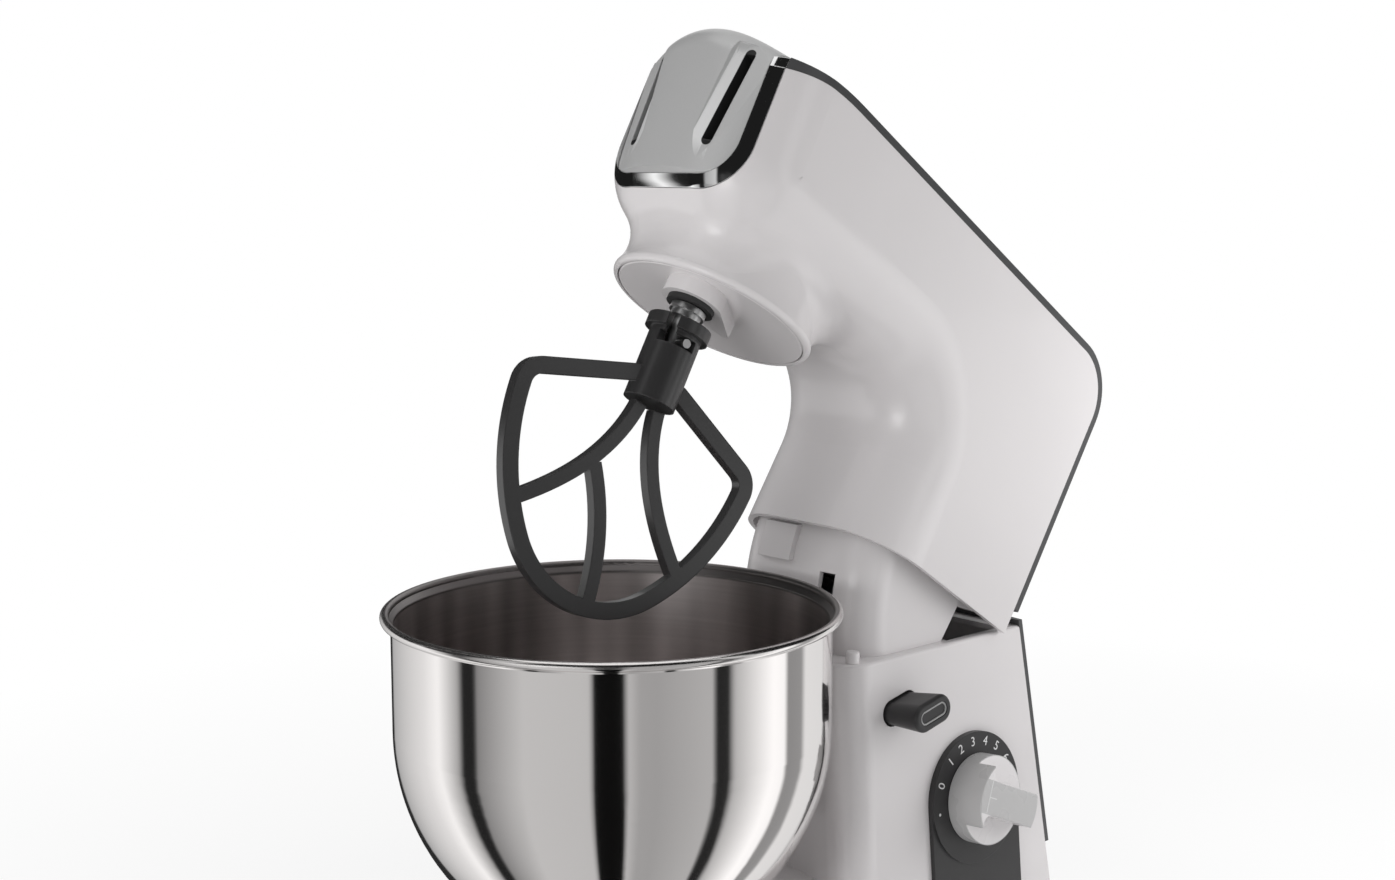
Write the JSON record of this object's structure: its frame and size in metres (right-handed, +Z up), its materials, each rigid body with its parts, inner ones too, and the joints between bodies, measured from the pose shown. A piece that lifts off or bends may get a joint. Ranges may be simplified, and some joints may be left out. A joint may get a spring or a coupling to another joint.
{
  "type": "stand mixer",
  "caption": "Tilt-head stand mixer shown raised: hinged motor head with planetary flat beater over a steel bowl, on a flared base with a speed dial and a release button.",
  "frame": {"origin": "on the floor, below the middle of the raised machine's length and width", "axes": "+Z up, -X the way the head points when it is closed, -Y the side with the speed dial"},
  "size_m": [0.4263, 0.222, 0.4749],
  "materials": {
    "body_white": "glossy light grey-white moulded plastic",
    "knob_white": "satin white plastic",
    "band_grey": "satin dark grey plastic",
    "control_black": "satin anthracite plastic",
    "nose_satin": "satin silver",
    "trim_chrome": "polished",
    "bowl_steel": "polished outside, brushed inside",
    "tool_coating": "anthracite coating on cast aluminium",
    "shaft_steel": "turned steel",
    "gear_steel": "cut steel",
    "plate_metal": "pressed and cast",
    "bush_bronze": "sintered bronze",
    "winding_copper": "enamelled copper wire",
    "laminations": "stacked sheet iron",
    "inner_plastic": "dark moulded plastic",
    "foot_rubber": "soft rubber",
    "board_green": "circuit board",
    "brush_carbon": "pressed carbon"
  },
  "bodies": {
    "base": {"base_housing": "body_white", "base_bottom_plate": "inner_plastic", "rubber_feet": "foot_rubber", "base_screws": "shaft_steel", "base_back_band": "band_grey", "bowl_clamp_plate": "inner_plastic", "control_board": "board_green", "cord_gland": "inner_plastic", "tilt_neck": "body_white", "hinge_pin": "shaft_steel", "stop_pegs": "body_white", "dial_bezel": "control_black", "speed_switch": "inner_plastic"},
    "head": {"head_housing": "body_white", "head_cover_band": "band_grey", "nose_cap": "nose_satin", "nose_trim": "trim_chrome", "ring_gear": "gear_steel", "gear_plate": "plate_metal", "carrier_bush": "bush_bronze", "gearbox_screws": "shaft_steel", "pulley_axle": "shaft_steel", "drive_belt": "foot_rubber", "motor_bracket": "plate_metal", "motor_stator": "laminations", "motor_windings": "winding_copper", "motor_end_bell": "inner_plastic", "carbon_brushes": "brush_carbon"},
    "carrier": {"planet_carrier": "body_white", "carrier_gear": "gear_steel", "tool_bush": "bush_bronze", "shaft_seal": "foot_rubber"},
    "tool": {"planet_pinion": "gear_steel", "tool_shaft": "shaft_steel", "shaft_collar": "shaft_steel", "cross_pin": "shaft_steel", "flat_beater": "tool_coating"},
    "belt_pulley": {"pulley_gear": "inner_plastic"},
    "rotor": {"rotor_core": "laminations", "commutator": "bush_bronze", "motor_shaft": "shaft_steel", "motor_pulley": "inner_plastic", "cooling_fan": "inner_plastic"},
    "button": {"release_button": "control_black", "latch_slider": "inner_plastic"},
    "knob": {"speed_knob": "knob_white"},
    "mixing_bowl": {"bowl": "bowl_steel", "bowl_foot": "bowl_steel"}
  },
  "joints": [
    {"name": "head_tilt", "type": "hinge", "parent": "base", "child": "head", "pos_m": [0.12602, 0, 0.175], "axis": [0, 1, 0], "range_deg": [-33.6, 0]},
    {"name": "planetary_spin", "type": "hinge", "parent": "head", "child": "carrier", "pos_m": [-0.03782, 0, 0.33788], "axis": [0.5534, 0, 0.8329], "continuous": true},
    {"name": "tool_spin", "type": "hinge", "parent": "carrier", "child": "tool", "pos_m": [-0.05874, -0.0145, 0.35178], "axis": [0.5534, 0, 0.8329], "continuous": true},
    {"name": "pulley_spin", "type": "hinge", "parent": "head", "child": "belt_pulley", "pos_m": [0.0093, 0, 0.35459], "axis": [0.5534, 0, 0.8329], "continuous": true},
    {"name": "motor_spin", "type": "hinge", "parent": "head", "child": "rotor", "pos_m": [0.14118, 0, 0.30299], "axis": [0.5534, 0, 0.8329], "continuous": true},
    {"name": "release_button", "type": "slide", "parent": "base", "child": "button", "axis": [0, 0.9962, -0.0874], "range_m": [0, 0.008], "stiffness_N_per_m": 400, "springref_m": -0.002},
    {"name": "speed_knob", "type": "hinge", "parent": "base", "child": "knob", "pos_m": [0.09602, -0.06142, 0.075], "axis": [0, -0.9962, 0.0874], "range_deg": [-142, 29]},
    {"name": "bowl_twist", "type": "hinge", "parent": "base", "child": "mixing_bowl", "pos_m": [-0.10218, 0, 0.1], "axis": [0, 0, 1], "range_deg": [0, 40]}
  ],
  "couplings": [
    {"joint": "tool_spin", "follows": "planetary_spin", "ratio": -3.8571},
    {"joint": "pulley_spin", "follows": "planetary_spin", "ratio": -4},
    {"joint": "motor_spin", "follows": "planetary_spin", "ratio": -21}
  ]
}
